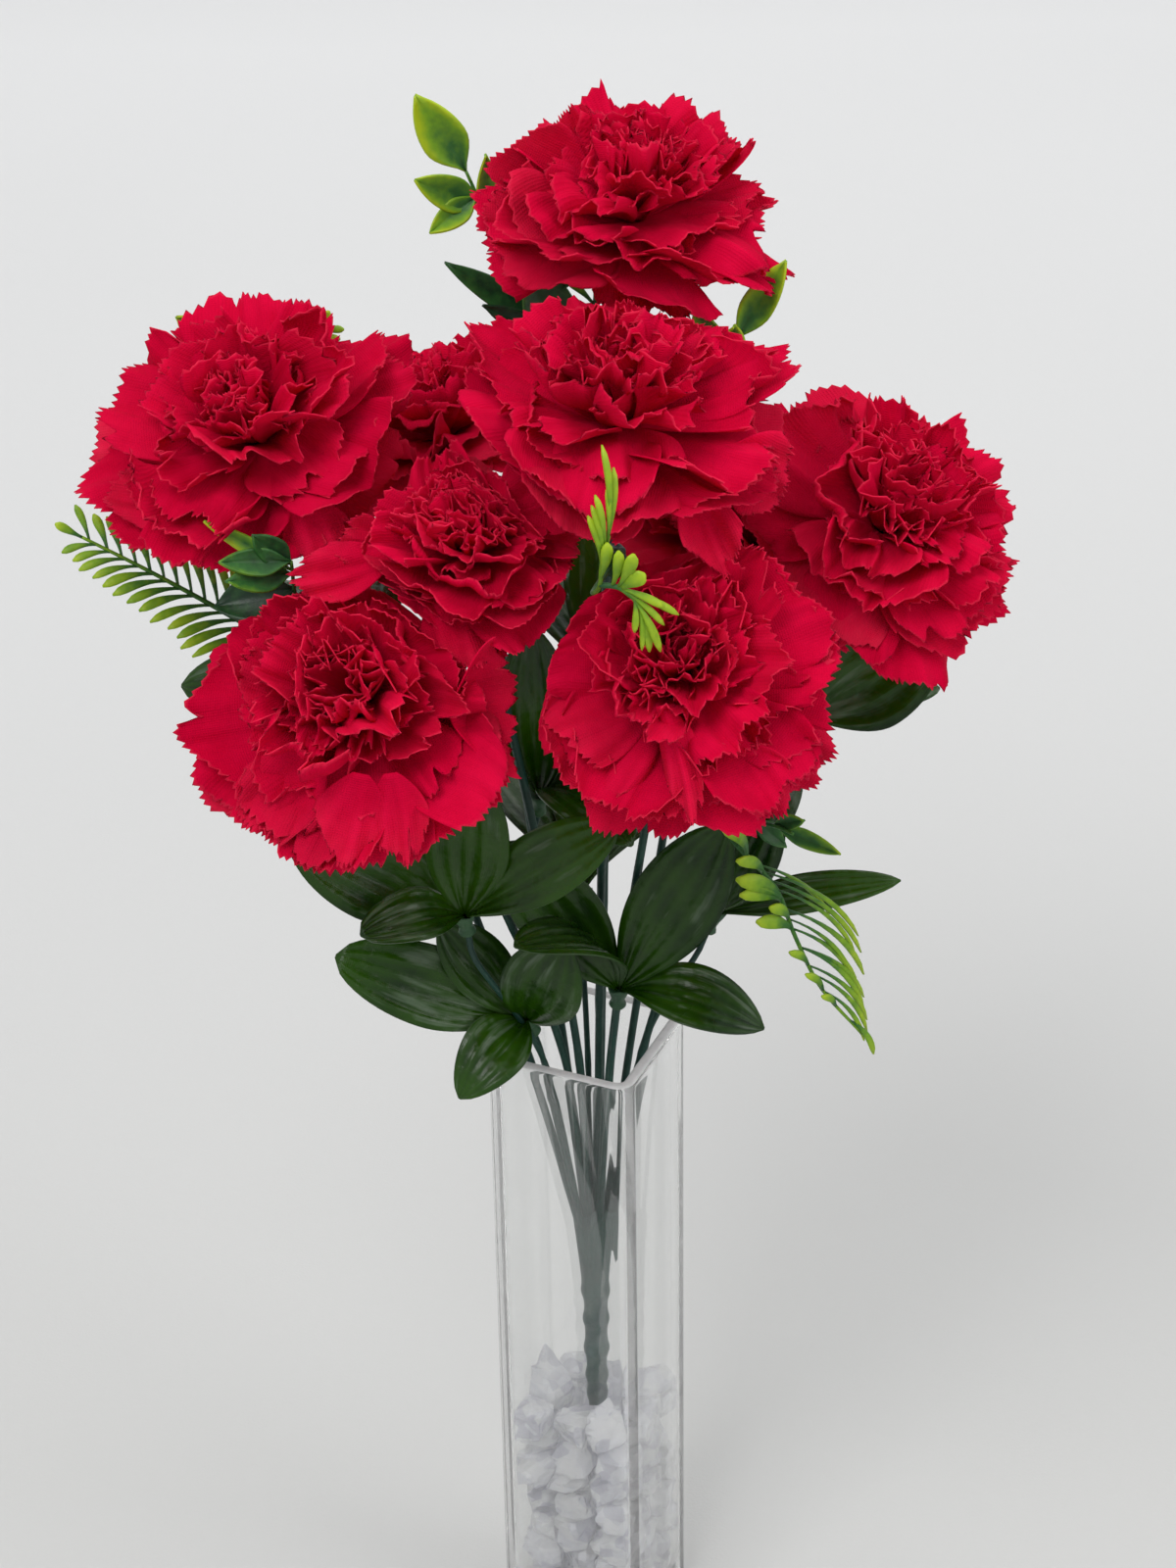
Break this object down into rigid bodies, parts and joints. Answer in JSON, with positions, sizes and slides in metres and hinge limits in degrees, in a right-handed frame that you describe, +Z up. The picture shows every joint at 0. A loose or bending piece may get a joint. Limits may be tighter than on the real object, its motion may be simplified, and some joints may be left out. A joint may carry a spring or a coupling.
{
  "type": "artificial carnations in a glass vase",
  "caption": "Bush of red silk carnations with cloth leaves, fern fronds and leafy sprigs on a moulded stem, standing in a tall square glass vase filled at the bottom with clear chips.",
  "frame": {"origin": "centre of the vase's flat foot", "axes": "+Z up along the vase; X and Y square to the vase's sides; the bush's front looks between +X and -Y, 24 degrees round from -Y"},
  "size_m": [0.2531, 0.2279, 0.5567],
  "materials": {
    "vase_glass": "clear polished glass with a ground rim",
    "ice_chip": "clear cast acrylic with broken facets",
    "stem_plastic": "dark blue-green moulded plastic, satin",
    "calyx_plastic": "green moulded plastic, satin",
    "petal_cloth": "red woven polyester with pinked edges",
    "leaf_cloth": "dark green stiffened cloth with pressed ribs",
    "fern_plastic": "green moulded plastic, yellow-green at the leaflet tips",
    "sprig_plastic": "green moulded plastic, yellow-green at the leaf tips"
  },
  "bodies": {
    "root": {"vase": "vase_glass", "ice_chips": "ice_chip", "trunk_and_stems": "stem_plastic", "calyx_top": "calyx_plastic", "calyx_upper_left": "calyx_plastic", "calyx_upper_middle": "calyx_plastic", "calyx_right": "calyx_plastic", "calyx_lower_left": "calyx_plastic", "calyx_lower_middle": "calyx_plastic", "calyx_left_of_middle": "calyx_plastic", "calyx_back_left": "calyx_plastic", "calyx_back_right": "calyx_plastic", "bloom_top": "petal_cloth", "bloom_upper_left": "petal_cloth", "bloom_upper_middle": "petal_cloth", "bloom_right": "petal_cloth", "bloom_lower_left": "petal_cloth", "bloom_lower_middle": "petal_cloth", "bloom_left_of_middle": "petal_cloth", "bloom_back_left": "petal_cloth", "bloom_back_right": "petal_cloth", "leaves_rim_left": "leaf_cloth", "leaves_rim_right": "leaf_cloth", "leaves_left": "leaf_cloth", "leaves_right": "leaf_cloth", "leaves_middle": "leaf_cloth", "leaves_under_right_bloom": "leaf_cloth", "leaves_under_left_bloom": "leaf_cloth", "leaves_back": "leaf_cloth", "leaves_back_low": "leaf_cloth", "fern_left": "fern_plastic", "fern_right": "fern_plastic", "fern_middle": "fern_plastic", "fern_behind_left": "fern_plastic", "fern_behind_top": "fern_plastic", "sprig_top_left": "sprig_plastic", "sprig_top_right": "sprig_plastic", "sprig_left": "sprig_plastic", "sprig_under_left": "sprig_plastic", "sprig_under_right": "sprig_plastic"}
  },
  "joints": []
}
